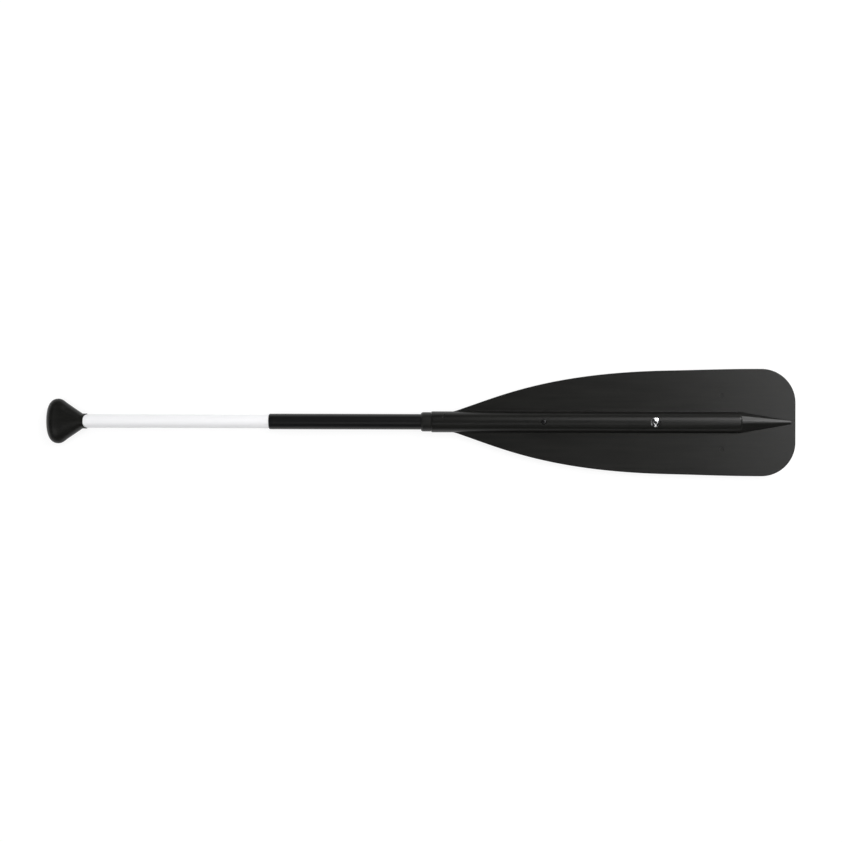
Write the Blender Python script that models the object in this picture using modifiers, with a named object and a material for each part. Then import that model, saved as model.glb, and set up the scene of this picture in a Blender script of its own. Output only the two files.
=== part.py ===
"""Telescoping boat paddle, modelled pulled out and lying on its back.

X runs along the shaft, from the palm grip at -X to the blade's tip at +X, and the blade's front faces +Z.
The origin is at the middle of the paddle's length and width, on the surface that it lies on.
"""

import math

import bmesh
import bpy
from mathutils import Matrix, Vector
from mathutils.geometry import interpolate_bezier

MM = 0.001
OBJECT = "boat_paddle"

# Fits, all radial or face to face
SEAT_GAP = 0.3 * MM  # between two pieces that touch
RUNNING_GAP = 0.3 * MM  # between a bush and what it guides
TUBE_CLEARANCE = 0.375 * MM  # inner tube in the outer tube
PIN_CLEARANCE = 0.3 * MM  # buttons, rivet and screw in their holes

# Inner shaft
INNER_DIAMETER = 19.05 * MM
INNER_WALL = 1.2 * MM
INNER_EXPOSED = 263.1 * MM  # from the grip to the outer shaft, pulled out
INNER_OVERLAP = 75.2 * MM  # inside the outer shaft, pulled out

# Outer shaft
OUTER_WALL = 1.2 * MM
OUTER_EXPOSED = 216.2 * MM  # from its mouth to the bush, pulled out
OUTER_INSERTION = 186.0 * MM  # inside the bush and the blade, pulled out
MOUTH_ROUNDING_LENGTH = 2.5 * MM
MOUTH_ROUNDING_DEPTH = 0.9 * MM

# Bushes
BUSH_WALL = 1.0 * MM
FLANGE_LENGTH = 14.3 * MM
FLANGE_STEP = 1.2 * MM  # how much smaller than the rib the flange's radius is
FLANGE_CHAMFER_LENGTH = 2.3 * MM
FLANGE_CHAMFER_DEPTH = 1.2 * MM
SPIGOT_LENGTH = 26.0 * MM
GUIDE_LENGTH = 26.0 * MM
GUIDE_LIP = 1.2 * MM  # over the end of the outer shaft

# Blade
BLADE_LENGTH = 518.8 * MM
BLADE_WIDTH = 153.0 * MM
PLATE_THICKNESS = 3.6 * MM
PLATE_EDGE_RADIUS = 1.2 * MM
THROAT_START = 27.4 * MM  # from the blade's mouth to where it starts to flare
ROOT_RADIUS = 3.0 * MM  # of the outline's two corners inside the rib
THROAT_LENGTH = 18.0 * MM
THROAT_HALF_WIDTH = 19.44 * MM
THROAT_SLOPE = 0.343
SHOULDER_FROM_TIP = 180.7 * MM
SHOULDER_HALF_WIDTH = 73.9 * MM
SHOULDER_SLOPE = 0.021
TIP_CORNER_RADIUS = 48.5 * MM

# How far the blade's outline keeps its direction at each of those places
THROAT_EASE = 6.0 * MM
THROAT_APPROACH = 4.5 * MM
THROAT_REACH = 59.8 * MM
SHOULDER_APPROACH = 164.0 * MM
SHOULDER_REACH = 52.0 * MM

# Rib of the blade
RIB_WALL = 2.3 * MM
RIB_END_FROM_TIP = 79.0 * MM
RIB_END_WALL = 9.0 * MM
RIB_MOUTH_ROUNDING = 3.0 * MM
RIB_MOUTH_STEP = 0.8 * MM
RIB_END_CHAMFER_LENGTH = 4.3 * MM
RIB_END_CHAMFER_DEPTH = 2.2 * MM
EJECTOR_DIAMETER = 6.5 * MM
EJECTOR_DEPTH = 0.4 * MM
EJECTOR_FROM_TIP = 105.7 * MM
EJECTOR_OFFSET = 38.8 * MM

# Roof past the rib's end, with its section measured where the rib's chamfer begins and its heights
# from the blade's middle
ROOF_RIDGE_HEIGHT = 13.1 * MM
ROOF_EAVE_HEIGHT = 8.9 * MM
ROOF_EAVE_HALF_WIDTH = 9.8 * MM
ROOF_HALF_WIDTH = 15.9 * MM  # where its walls meet the blade's face
ROOF_END_FROM_TIP = 7.0 * MM
ROOF_END_HALF_WIDTH = 2.6 * MM

# Stop rivet
RIVET_FROM_MOUTH = 316.4 * MM
RIVET_DIAMETER = 6.0 * MM
RIVET_HEAD_DIAMETER = 13.4 * MM
RIVET_HEAD_HEIGHT = 2.3 * MM
RIVET_TAIL_HEIGHT = 0.9 * MM
RIVET_DIMPLE_DIAMETER = 4.6 * MM
RIVET_BORE_DIAMETER = 3.6 * MM
RIVET_DIMPLE_DEPTH = 5.0 * MM
SPOT_FACE_DEPTH = 1.3 * MM

# Lower lock, through the outer shaft, its guide bush and the rib
LOWER_BUTTON_DIAMETER = 7.0 * MM
LOWER_BUTTON_FROM_END = 12.5 * MM
LOWER_BUTTON_PROUD = 0.7 * MM
LOWER_STRIP_WIDTH = 8.0 * MM
LOWER_SPRING_LENGTH = 46.0 * MM

# Upper lock, through both shafts, on the rear side
UPPER_BUTTON_DIAMETER = 6.0 * MM
UPPER_BUTTON_FROM_MOUTH = 25.2 * MM
UPPER_BUTTON_PROUD = 1.6 * MM
UPPER_STRIP_WIDTH = 6.0 * MM
UPPER_SPRING_LENGTH = 46.0 * MM

# Both lock springs
STRIP_THICKNESS = 0.8 * MM
SPRING_BEND_RADIUS = 3.4 * MM
BUTTON_FROM_FREE_END = 6.0 * MM
BUTTON_DOME = 1.2 * MM

# Plug in the inner shaft's lower end
PLUG_LENGTH = 15.0 * MM

# Palm grip
GRIP_LENGTH = 54.1 * MM
GRIP_WIDTH = 63.8 * MM
GRIP_WIDEST_FROM_END = 16.9 * MM
GRIP_TAPER_FROM_END = 30.9 * MM
GRIP_TAPER_HALF_WIDTH = 24.5 * MM
GRIP_COLLAR_FROM_END = 51.0 * MM
GRIP_MOUTH_DIP = 3.3 * MM  # how much further the mouth reaches at its sides
GRIP_MOUTH_WALL = 0.9 * MM
GRIP_SOCKET_DEPTH = 38.0 * MM
GRIP_END_ROUNDING = 17.0 * MM
GRIP_END_SQUARENESS = 13.5 * MM
GRIP_CREST_REACH = 6.0 * MM

# Screw that holds the grip
SCREW_FROM_MOUTH = 17.7 * MM
SCREW_DIAMETER = 3.0 * MM
SCREW_LENGTH = 6.0 * MM
SCREW_HEAD_DIAMETER = 6.0 * MM
SCREW_HEAD_HEIGHT = 1.5 * MM
SCREW_RECESS_FLOOR = 1.6 * MM  # wall left between the head and the inner shaft

# Facets of round pieces
SHAFT_SIDES = 48
PIN_SIDES = 24
ARC_STEPS = 6
DOME_STEPS = 4
OUTLINE_STEPS = 14
GRIP_END_STEPS = 10

# Radii that follow from the fits, from the middle outwards
INNER_RADIUS = INNER_DIAMETER / 2
INNER_BORE = INNER_RADIUS - INNER_WALL
OUTER_BORE = INNER_RADIUS + TUBE_CLEARANCE
OUTER_RADIUS = OUTER_BORE + OUTER_WALL
GUIDE_BORE = OUTER_RADIUS + SEAT_GAP
GUIDE_RADIUS = GUIDE_BORE + BUSH_WALL
BUSH_BORE = OUTER_RADIUS + RUNNING_GAP
RIB_BORE = max(GUIDE_RADIUS, BUSH_BORE + BUSH_WALL) + RUNNING_GAP
RIB_RADIUS = RIB_BORE + RIB_WALL
FLANGE_RADIUS = RIB_RADIUS - FLANGE_STEP
AXIS_HEIGHT = RIB_RADIUS

# Places along X, from the blade's tip back to the grip's end
OVERALL_LENGTH = (
    BLADE_LENGTH + SEAT_GAP + FLANGE_LENGTH + OUTER_EXPOSED + INNER_EXPOSED + GRIP_LENGTH
)
TIP_X = OVERALL_LENGTH / 2
BLADE_MOUTH_X = TIP_X - BLADE_LENGTH
FLANGE_FRONT_X = BLADE_MOUTH_X - SEAT_GAP - FLANGE_LENGTH
OUTER_MOUTH_X = FLANGE_FRONT_X - OUTER_EXPOSED
OUTER_END_X = FLANGE_FRONT_X + OUTER_INSERTION
GRIP_MOUTH_X = OUTER_MOUTH_X - INNER_EXPOSED
GRIP_END_X = GRIP_MOUTH_X - GRIP_LENGTH
INNER_TOP_X = GRIP_MOUTH_X - GRIP_SOCKET_DEPTH + SEAT_GAP
INNER_END_X = OUTER_MOUTH_X + INNER_OVERLAP
RIB_END_X = TIP_X - RIB_END_FROM_TIP
RIVET_X = BLADE_MOUTH_X + RIVET_FROM_MOUTH
LOWER_BUTTON_X = OUTER_END_X - LOWER_BUTTON_FROM_END
UPPER_BUTTON_X = OUTER_MOUTH_X + UPPER_BUTTON_FROM_MOUTH
SCREW_X = GRIP_MOUTH_X - SCREW_FROM_MOUTH

# Directions as seen from the shaft's axis
FRONT = 1
REAR = -1


def remove_everything():
    for obj in list(bpy.data.objects):
        bpy.data.objects.remove(obj, do_unlink=True)


def new_collection(name, parent=None):
    collection = bpy.data.collections.new(name)
    (parent or bpy.context.scene.collection).children.link(collection)
    return collection


def new_material(name, colour, roughness, metallic=0.0):
    """A Principled material from a linear RGB colour."""
    material = bpy.data.materials.new(name)
    material.use_nodes = True
    shader = material.node_tree.nodes["Principled BSDF"]
    shader.inputs["Base Color"].default_value = (*colour, 1)
    shader.inputs["Roughness"].default_value = roughness
    shader.inputs["Metallic"].default_value = metallic
    material.diffuse_color = (*colour, 1)
    return material


def new_object(name, data, collection, material=None):
    obj = bpy.data.objects.new(name, data)
    collection.objects.link(obj)
    if material:
        data.materials.append(material)
    return obj


def new_empty(name, collection, location, parent=None):
    empty = bpy.data.objects.new(name, None)
    empty.empty_display_size = 20 * MM
    collection.objects.link(empty)
    attach(empty, parent, Matrix.Translation(location))
    return empty


def attach(obj, parent, world):
    """Parent an object and put it at a place given in world space."""
    obj.parent = parent
    obj.matrix_parent_inverse = Matrix.Identity(4)
    obj.matrix_basis = (world_of(parent).inverted() if parent else Matrix.Identity(4)) @ world


def world_of(obj):
    matrix = obj.matrix_basis.copy()
    while obj.parent:
        obj = obj.parent
        matrix = obj.matrix_basis @ matrix
    return matrix


def along_shaft(x):
    """Local Z along the shaft, on its axis, at one X."""
    return Matrix.Translation((x, 0, AXIS_HEIGHT)) @ Matrix.Rotation(math.pi / 2, 4, "Y")


def out_of_shaft(x, side):
    """Local Z straight out of the shaft, to the front or the rear, from its axis."""
    turn = Matrix.Identity(4) if side == FRONT else Matrix.Rotation(math.pi, 4, "X")
    return Matrix.Translation((x, 0, AXIS_HEIGHT)) @ turn


def turned(name, profile, collection, world, material=None, closed=False, sides=SHAFT_SIDES, parent=None):
    """A profile of (height, radius) points, top to bottom down the outer side, turned round local Z.

    The radii are measured across the flats, and a facet faces each of the local axes.
    """
    half_step = math.pi / sides
    reach = 1 / math.cos(half_step)
    points = [
        (radius * reach * math.cos(half_step), radius * reach * math.sin(half_step), height)
        for height, radius in profile
    ]
    edges = [(i, i + 1) for i in range(len(points) - 1)]
    if closed:
        edges.append((len(points) - 1, 0))
    mesh = bpy.data.meshes.new(name)
    mesh.from_pydata(points, edges, [])
    obj = new_object(name, mesh, collection, material)
    screw = obj.modifiers.new("Turn", "SCREW")
    screw.axis = "Z"
    screw.angle = 2 * math.pi
    screw.steps = sides
    screw.render_steps = sides
    screw.use_merge_vertices = True
    screw.merge_threshold = 1e-6
    attach(obj, parent, world)
    return obj


def arc(centre, radii, start, end, steps=ARC_STEPS):
    """Points on an ellipse's arc in (height, radius), angles in degrees from the height axis."""
    return [
        (
            centre[0] + radii[0] * math.cos(math.radians(start + (end - start) * i / steps)),
            centre[1] + radii[1] * math.sin(math.radians(start + (end - start) * i / steps)),
        )
        for i in range(steps + 1)
    ]


def bezier(start, start_handle, end_handle, end, steps):
    ends = [Vector((*p, 0)) for p in (start, start_handle, end_handle, end)]
    return [(p.x, p.y) for p in interpolate_bezier(*ends, steps + 1)]


def hide_helper(helper):
    helper.hide_render = True
    helper.display_type = "WIRE"


def join(obj, *others):
    """Grow a piece by other bodies."""
    for other in others:
        hide_helper(other)
        modifier = obj.modifiers.new(other.name, "BOOLEAN")
        modifier.operation = "UNION"
        modifier.solver = "EXACT"
        modifier.object = other


def cut(obj, group):
    """Cut every cutter of one collection out of a piece."""
    for cutter in group.objects:
        hide_helper(cutter)
    modifier = obj.modifiers.new(group.name, "BOOLEAN")
    modifier.operation = "DIFFERENCE"
    modifier.solver = "EXACT"
    modifier.operand_type = "COLLECTION"
    modifier.collection = group


def round_cutter(name, radius, low, high, group, world, sides=PIN_SIDES):
    """A plain round cutter between two heights along local Z."""
    profile = [(high, 0), (high, radius), (low, radius), (low, 0)]
    return turned(name, profile, group, world, sides=sides)


def to_mesh(obj):
    """Replace an object by a mesh object of what its curve or modifiers make."""
    bpy.context.view_layer.update()
    evaluated = obj.evaluated_get(bpy.context.evaluated_depsgraph_get())
    mesh = bpy.data.meshes.new_from_object(evaluated)
    world = world_of(obj)
    collection = obj.users_collection[0]
    name = obj.name
    bpy.data.objects.remove(obj, do_unlink=True)
    result = new_object(name, mesh, collection)
    result.matrix_basis = world
    return result


def tube(name, start, end, outer, inner, collection, material, parent):
    """A plain tube along the shaft between two X places."""
    profile = [(end - start, outer), (0, outer), (0, inner), (end - start, inner)]
    return turned(name, profile, collection, along_shaft(start), material, closed=True, parent=parent)


def make_blade(parts, cutters, material):
    """Flat blade, its hollow rib, the roof ridge past the rib, and what is cut into them."""
    outline = blade_outline()
    edge_radius = min(PLATE_EDGE_RADIUS, PLATE_THICKNESS / 3)
    curve = bpy.data.curves.new("blade", "CURVE")
    curve.dimensions = "2D"
    curve.fill_mode = "BOTH"
    curve.resolution_u = OUTLINE_STEPS
    curve.extrude = PLATE_THICKNESS / 2 - edge_radius
    curve.bevel_depth = edge_radius
    curve.bevel_resolution = 2
    curve.offset = -edge_radius
    spline = curve.splines.new("BEZIER")
    spline.bezier_points.add(len(outline) - 1)
    spline.use_cyclic_u = True
    for point, (before, place, after) in zip(spline.bezier_points, outline):
        point.handle_left_type = point.handle_right_type = "FREE"
        point.handle_left = (*before, 0)
        point.co = (*place, 0)
        point.handle_right = (*after, 0)
    blade = new_object("blade", curve, parts)
    blade.matrix_basis = Matrix.Translation((0, 0, AXIS_HEIGHT))
    blade = to_mesh(blade)
    weld_caps(blade)
    blade.data.materials.append(material)
    join(blade, make_rib(cutters), make_roof(cutters))
    cut(blade, blade_cutters(cutters))
    return blade


def blade_outline():
    """Bezier points of the blade's edge as (handle before, point, handle after), all the way round."""
    half_width = BLADE_WIDTH / 2
    start = (BLADE_MOUTH_X + THROAT_START, RIB_RADIUS - SEAT_GAP)
    throat = (start[0] + THROAT_LENGTH, THROAT_HALF_WIDTH)
    shoulder = (TIP_X - SHOULDER_FROM_TIP, SHOULDER_HALF_WIDTH)
    corner_start = (TIP_X - TIP_CORNER_RADIUS, half_width)
    corner_end = (TIP_X, half_width - TIP_CORNER_RADIUS)
    quarter = 4 / 3 * (math.sqrt(2) - 1)  # handle of a quarter circle, as a share of its radius
    round_reach = TIP_CORNER_RADIUS * quarter
    root_reach = ROOT_RADIUS * quarter
    root = (start[0] - ROOT_RADIUS, start[1] - ROOT_RADIUS)
    upper = [
        (root, root, (root[0], root[1] + root_reach)),
        (step(start, 0, -root_reach), start, step(start, 0, THROAT_EASE)),
        (
            step(throat, THROAT_SLOPE, -THROAT_APPROACH),
            throat,
            step(throat, THROAT_SLOPE, THROAT_REACH),
        ),
        (
            step(shoulder, SHOULDER_SLOPE, -SHOULDER_APPROACH),
            shoulder,
            step(shoulder, SHOULDER_SLOPE, SHOULDER_REACH),
        ),
        (
            step(corner_start, 0, -SHOULDER_REACH),
            corner_start,
            step(corner_start, 0, round_reach),
        ),
        ((corner_end[0], corner_end[1] + round_reach), corner_end, corner_end),
    ]
    lower = [tuple((x, -y) for x, y in reversed(point)) for point in reversed(upper)]
    return upper + lower


def step(point, slope, distance):
    """A point at a distance along a slope."""
    length = math.hypot(1, slope)
    return (point[0] + distance / length, point[1] + slope * distance / length)


def weld_caps(obj):
    """Join a converted curve's flat caps to its sides."""
    mesh = bmesh.new()
    mesh.from_mesh(obj.data)
    bmesh.ops.remove_doubles(mesh, verts=mesh.verts, dist=1e-6)
    bmesh.ops.recalc_face_normals(mesh, faces=mesh.faces)
    mesh.to_mesh(obj.data)
    mesh.free()


def make_rib(cutters):
    """Round rib with an eased mouth and a chamfered end."""
    length = RIB_END_X - BLADE_MOUTH_X
    mouth = arc(
        (RIB_MOUTH_ROUNDING, RIB_RADIUS - RIB_MOUTH_STEP),
        (RIB_MOUTH_ROUNDING, RIB_MOUTH_STEP),
        90,
        180,
        DOME_STEPS,
    )
    profile = [
        (length, 0),
        (length, RIB_RADIUS - RIB_END_CHAMFER_DEPTH),
        (length - RIB_END_CHAMFER_LENGTH, RIB_RADIUS),
        *mouth,
        (0, 0),
    ]
    return turned("blade_rib", profile, cutters, along_shaft(BLADE_MOUTH_X))


def make_roof(cutters):
    """Spike on the blade's middle that stands out of each face as a roof on steep walls.

    Its walls run down to the blade's face near the tip. It is an eight-sided bar whose corners are
    moved, at each end, to its ridges, its eaves and its sides.
    """
    face = PLATE_THICKNESS / 2
    wall_spread = (ROOF_HALF_WIDTH - ROOF_EAVE_HALF_WIDTH) / (ROOF_EAVE_HEIGHT - face)
    roof_pitch = (ROOF_RIDGE_HEIGHT - ROOF_EAVE_HEIGHT) / ROOF_EAVE_HALF_WIDTH
    start = RIB_END_X - RIB_END_CHAMFER_LENGTH
    end = TIP_X - ROOF_END_FROM_TIP
    bpy.ops.mesh.primitive_cylinder_add(vertices=8, radius=1, depth=end - start)
    roof = bpy.context.object
    roof.name = "blade_roof"
    diagonal = math.sqrt(2)
    for vertex in roof.data.vertices:
        at_rib = vertex.co.z < 0
        eave_half_width = ROOF_EAVE_HALF_WIDTH if at_rib else ROOF_END_HALF_WIDTH
        eave_height = ROOF_EAVE_HEIGHT if at_rib else face
        if min(abs(vertex.co.x), abs(vertex.co.y)) < SEAT_GAP:
            vertex.co.x *= eave_height + roof_pitch * eave_half_width
            vertex.co.y *= eave_half_width + wall_spread * eave_height
        else:
            vertex.co.x *= eave_height * diagonal
            vertex.co.y *= eave_half_width * diagonal
    for collection in list(roof.users_collection):
        collection.objects.unlink(roof)
    cutters.objects.link(roof)
    attach(roof, None, along_shaft((start + end) / 2))
    return roof


def blade_cutters(cutters):
    """What is cut into the blade: bore, lock hole, rivet hole and seats, and ejector marks."""
    group = new_collection("blade_cutters", cutters)
    bore_length = RIB_END_X - RIB_END_WALL - BLADE_MOUTH_X
    round_cutter(
        "blade_bore", RIB_BORE, -RIB_WALL, bore_length, group, along_shaft(BLADE_MOUTH_X), SHAFT_SIDES
    )
    beyond = RIB_RADIUS + RIB_WALL
    lock_radius = LOWER_BUTTON_DIAMETER / 2 + PIN_CLEARANCE
    round_cutter(
        "blade_lock_hole", lock_radius, 0, beyond, group, out_of_shaft(LOWER_BUTTON_X, FRONT)
    )
    rivet_place = out_of_shaft(RIVET_X, FRONT)
    rivet_radius = RIVET_DIAMETER / 2 + PIN_CLEARANCE
    round_cutter("blade_rivet_hole", rivet_radius, -beyond, beyond, group, rivet_place)
    seat = RIB_RADIUS - SPOT_FACE_DEPTH
    seat_radius = RIVET_HEAD_DIAMETER / 2 + SEAT_GAP
    round_cutter("blade_rivet_seat_front", seat_radius, seat, beyond, group, rivet_place)
    round_cutter("blade_rivet_seat_rear", seat_radius, -beyond, -seat, group, rivet_place)
    face_height = AXIS_HEIGHT + PLATE_THICKNESS / 2
    for side, y in (("left", EJECTOR_OFFSET), ("right", -EJECTOR_OFFSET)):
        round_cutter(
            f"ejector_mark_{side}",
            EJECTOR_DIAMETER / 2,
            -EJECTOR_DEPTH,
            EJECTOR_DEPTH,
            group,
            Matrix.Translation((TIP_X - EJECTOR_FROM_TIP, y, face_height)),
        )
    return group


def make_socket_bush(parts, material, parent):
    """Flanged bush in the blade's mouth that the outer shaft slides through."""
    spigot = RIB_BORE - RUNNING_GAP
    end = FLANGE_LENGTH + SPIGOT_LENGTH
    profile = [
        (end, spigot),
        (FLANGE_LENGTH, spigot),
        (FLANGE_LENGTH, FLANGE_RADIUS),
        (FLANGE_CHAMFER_LENGTH, FLANGE_RADIUS),
        (0, FLANGE_RADIUS - FLANGE_CHAMFER_DEPTH),
        (0, BUSH_BORE),
        (end, BUSH_BORE),
    ]
    return turned("socket_bush", profile, parts, along_shaft(FLANGE_FRONT_X), material, True, parent=parent)


def make_outer_shaft(parts, cutters, material, parent):
    """Outer tube with an eased mouth and a hole for each lock."""
    length = OUTER_END_X - OUTER_MOUTH_X
    mouth = arc(
        (MOUTH_ROUNDING_LENGTH, OUTER_RADIUS - MOUTH_ROUNDING_DEPTH),
        (MOUTH_ROUNDING_LENGTH, MOUTH_ROUNDING_DEPTH),
        90,
        180,
    )
    profile = [(length, OUTER_RADIUS), *mouth, (0, OUTER_BORE), (length, OUTER_BORE)]
    shaft = turned("outer_shaft", profile, parts, along_shaft(OUTER_MOUTH_X), material, True, parent=parent)
    group = new_collection("outer_shaft_cutters", cutters)
    lower_radius = LOWER_BUTTON_DIAMETER / 2 + PIN_CLEARANCE
    lower_place = out_of_shaft(LOWER_BUTTON_X, FRONT)
    round_cutter("outer_lower_hole", lower_radius, 0, GUIDE_RADIUS, group, lower_place)
    upper_radius = UPPER_BUTTON_DIAMETER / 2 + PIN_CLEARANCE
    upper_place = out_of_shaft(UPPER_BUTTON_X, REAR)
    round_cutter("outer_upper_hole", upper_radius, 0, GUIDE_RADIUS, group, upper_place)
    cut(shaft, group)
    return shaft


def make_guide_bush(parts, cutters, material, parent):
    """Sleeve on the outer shaft's lower end, with a lip over the end and the lock's hole through it."""
    start = OUTER_END_X + SEAT_GAP + GUIDE_LIP - GUIDE_LENGTH
    profile = [
        (GUIDE_LENGTH, GUIDE_RADIUS),
        (0, GUIDE_RADIUS),
        (0, GUIDE_BORE),
        (GUIDE_LENGTH - GUIDE_LIP, GUIDE_BORE),
        (GUIDE_LENGTH - GUIDE_LIP, OUTER_BORE),
        (GUIDE_LENGTH, OUTER_BORE),
    ]
    bush = turned("outer_guide_bush", profile, parts, along_shaft(start), material, True, parent=parent)
    group = new_collection("guide_bush_cutters", cutters)
    radius = LOWER_BUTTON_DIAMETER / 2 + PIN_CLEARANCE
    round_cutter("guide_lock_hole", radius, 0, RIB_RADIUS, group, out_of_shaft(LOWER_BUTTON_X, FRONT))
    cut(bush, group)
    return bush


def make_inner_shaft(parts, cutters, material, parent):
    """Inner tube with the upper lock's hole and the grip screw's hole."""
    shaft = tube(
        "inner_shaft", INNER_TOP_X, INNER_END_X, INNER_RADIUS, INNER_BORE, parts, material, parent
    )
    group = new_collection("inner_shaft_cutters", cutters)
    upper_radius = UPPER_BUTTON_DIAMETER / 2 + PIN_CLEARANCE
    upper_place = out_of_shaft(UPPER_BUTTON_X, REAR)
    round_cutter("inner_upper_hole", upper_radius, 0, OUTER_RADIUS, group, upper_place)
    screw_radius = SCREW_DIAMETER / 2 + PIN_CLEARANCE
    screw_place = out_of_shaft(SCREW_X, REAR)
    round_cutter("inner_screw_hole", screw_radius, 0, OUTER_RADIUS, group, screw_place)
    cut(shaft, group)
    return shaft


def make_plug(parts, material, parent):
    """Plug that closes the inner shaft's lower end."""
    radius = INNER_BORE - SEAT_GAP
    profile = [
        (PLUG_LENGTH, 0),
        (PLUG_LENGTH, radius),
        (SEAT_GAP, radius),
        (0, radius - SEAT_GAP),
        (0, 0),
    ]
    place = along_shaft(INNER_END_X - PLUG_LENGTH)
    return turned("inner_shaft_plug", profile, parts, place, material, parent=parent)


def strip_reach(bore, width):
    """How far from the axis a flat strip's outer face can lie in a round bore."""
    return math.sqrt((bore - SEAT_GAP) ** 2 - (width / 2) ** 2)


def make_spring(name, button_x, side, bore, width, length, parts, material, parent):
    """Bent spring strip: two legs that open from a round bend to opposite sides of the bore."""
    reach = strip_reach(bore, width) - STRIP_THICKNESS / 2
    free = BUTTON_FROM_FREE_END
    bend_centre = free - length + SPRING_BEND_RADIUS
    tilt = math.atan2(reach - SPRING_BEND_RADIUS, -free - bend_centre)
    curve = bpy.data.curves.new(name, "CURVE")
    curve.dimensions = "2D"
    curve.fill_mode = "NONE"
    curve.extrude = width / 2
    spline = curve.splines.new("POLY")
    steps = 2 * ARC_STEPS
    angles = [(math.pi / 2 + tilt) * (2 * i / steps - 1) for i in range(steps + 1)]
    bend = [
        (bend_centre - SPRING_BEND_RADIUS * math.cos(angle), SPRING_BEND_RADIUS * math.sin(angle))
        for angle in angles
    ]
    path = [(free, -reach), (-free, -reach), *bend, (-free, reach), (free, reach)]
    spline.points.add(len(path) - 1)
    for point, (x, z) in zip(spline.points, path):
        point.co = (x, z, 0, 1)
    strip = to_mesh(new_object(name, curve, parts))
    strip.data.materials.append(material)
    solid = strip.modifiers.new("Thickness", "SOLIDIFY")
    solid.thickness = STRIP_THICKNESS
    solid.offset = 0
    attach(strip, parent, out_of_shaft(button_x, side) @ Matrix.Rotation(math.pi / 2, 4, "X"))
    return strip


def make_button(name, x, side, bore, width, diameter, top, parts, material, parent):
    """Domed lock button, standing on its spring strip."""
    base = strip_reach(bore, width) + SEAT_GAP
    radius = diameter / 2
    dome = arc((top - BUTTON_DOME, 0), (BUTTON_DOME, radius), 0, 90, DOME_STEPS)
    profile = [*dome, (base, radius), (base, 0)]
    return turned(name, profile, parts, out_of_shaft(x, side), material, sides=PIN_SIDES, parent=parent)


def make_stop_rivet(parts, material, parent):
    """Hollow rivet through the rib: a domed head in front with its dimple, and a flat tail behind."""
    seat = RIB_RADIUS - SPOT_FACE_DEPTH + SEAT_GAP
    head = RIVET_HEAD_DIAMETER / 2
    shank = RIVET_DIAMETER / 2
    dimple = RIVET_DIMPLE_DIAMETER / 2
    top = seat + RIVET_HEAD_HEIGHT
    first = math.degrees(math.asin(dimple / head))
    dome = arc((seat, 0), (RIVET_HEAD_HEIGHT, head), first, 90)
    profile = [
        (top - RIVET_DIMPLE_DEPTH, 0),
        (top - RIVET_DIMPLE_DEPTH, RIVET_BORE_DIAMETER / 2),
        *dome,
        (seat, shank),
        (-seat, shank),
        (-seat, head),
        (-seat - RIVET_TAIL_HEIGHT, head),
        (-seat - RIVET_TAIL_HEIGHT, 0),
    ]
    place = out_of_shaft(RIVET_X, FRONT)
    return turned("stop_rivet", profile, parts, place, material, sides=PIN_SIDES, parent=parent)


def grip_profile():
    """The grip's outline as (distance from its end, half width), from the mouth to the end."""
    half = GRIP_WIDTH / 2
    mouth_radius = INNER_RADIUS + SEAT_GAP + GRIP_MOUTH_WALL
    collar = (GRIP_COLLAR_FROM_END, mouth_radius)
    taper = (GRIP_TAPER_FROM_END, GRIP_TAPER_HALF_WIDTH)
    crest = (GRIP_WIDEST_FROM_END, half)
    slope = Vector(collar) - Vector(taper)
    slope.normalize()
    before_taper = (taper[0] - slope.x * GRIP_CREST_REACH, taper[1] - slope.y * GRIP_CREST_REACH)
    bulge = bezier(taper, before_taper, (crest[0] + GRIP_CREST_REACH, half), crest, ARC_STEPS)
    end = bezier(
        crest,
        (crest[0] - GRIP_END_SQUARENESS, half),
        (0, GRIP_END_ROUNDING),
        (0, 0),
        GRIP_END_STEPS,
    )
    middle = ((collar[0] + taper[0]) / 2, (collar[1] + taper[1]) / 2)
    return [(GRIP_LENGTH, mouth_radius), collar, middle, *bulge, *end[1:]]


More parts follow.
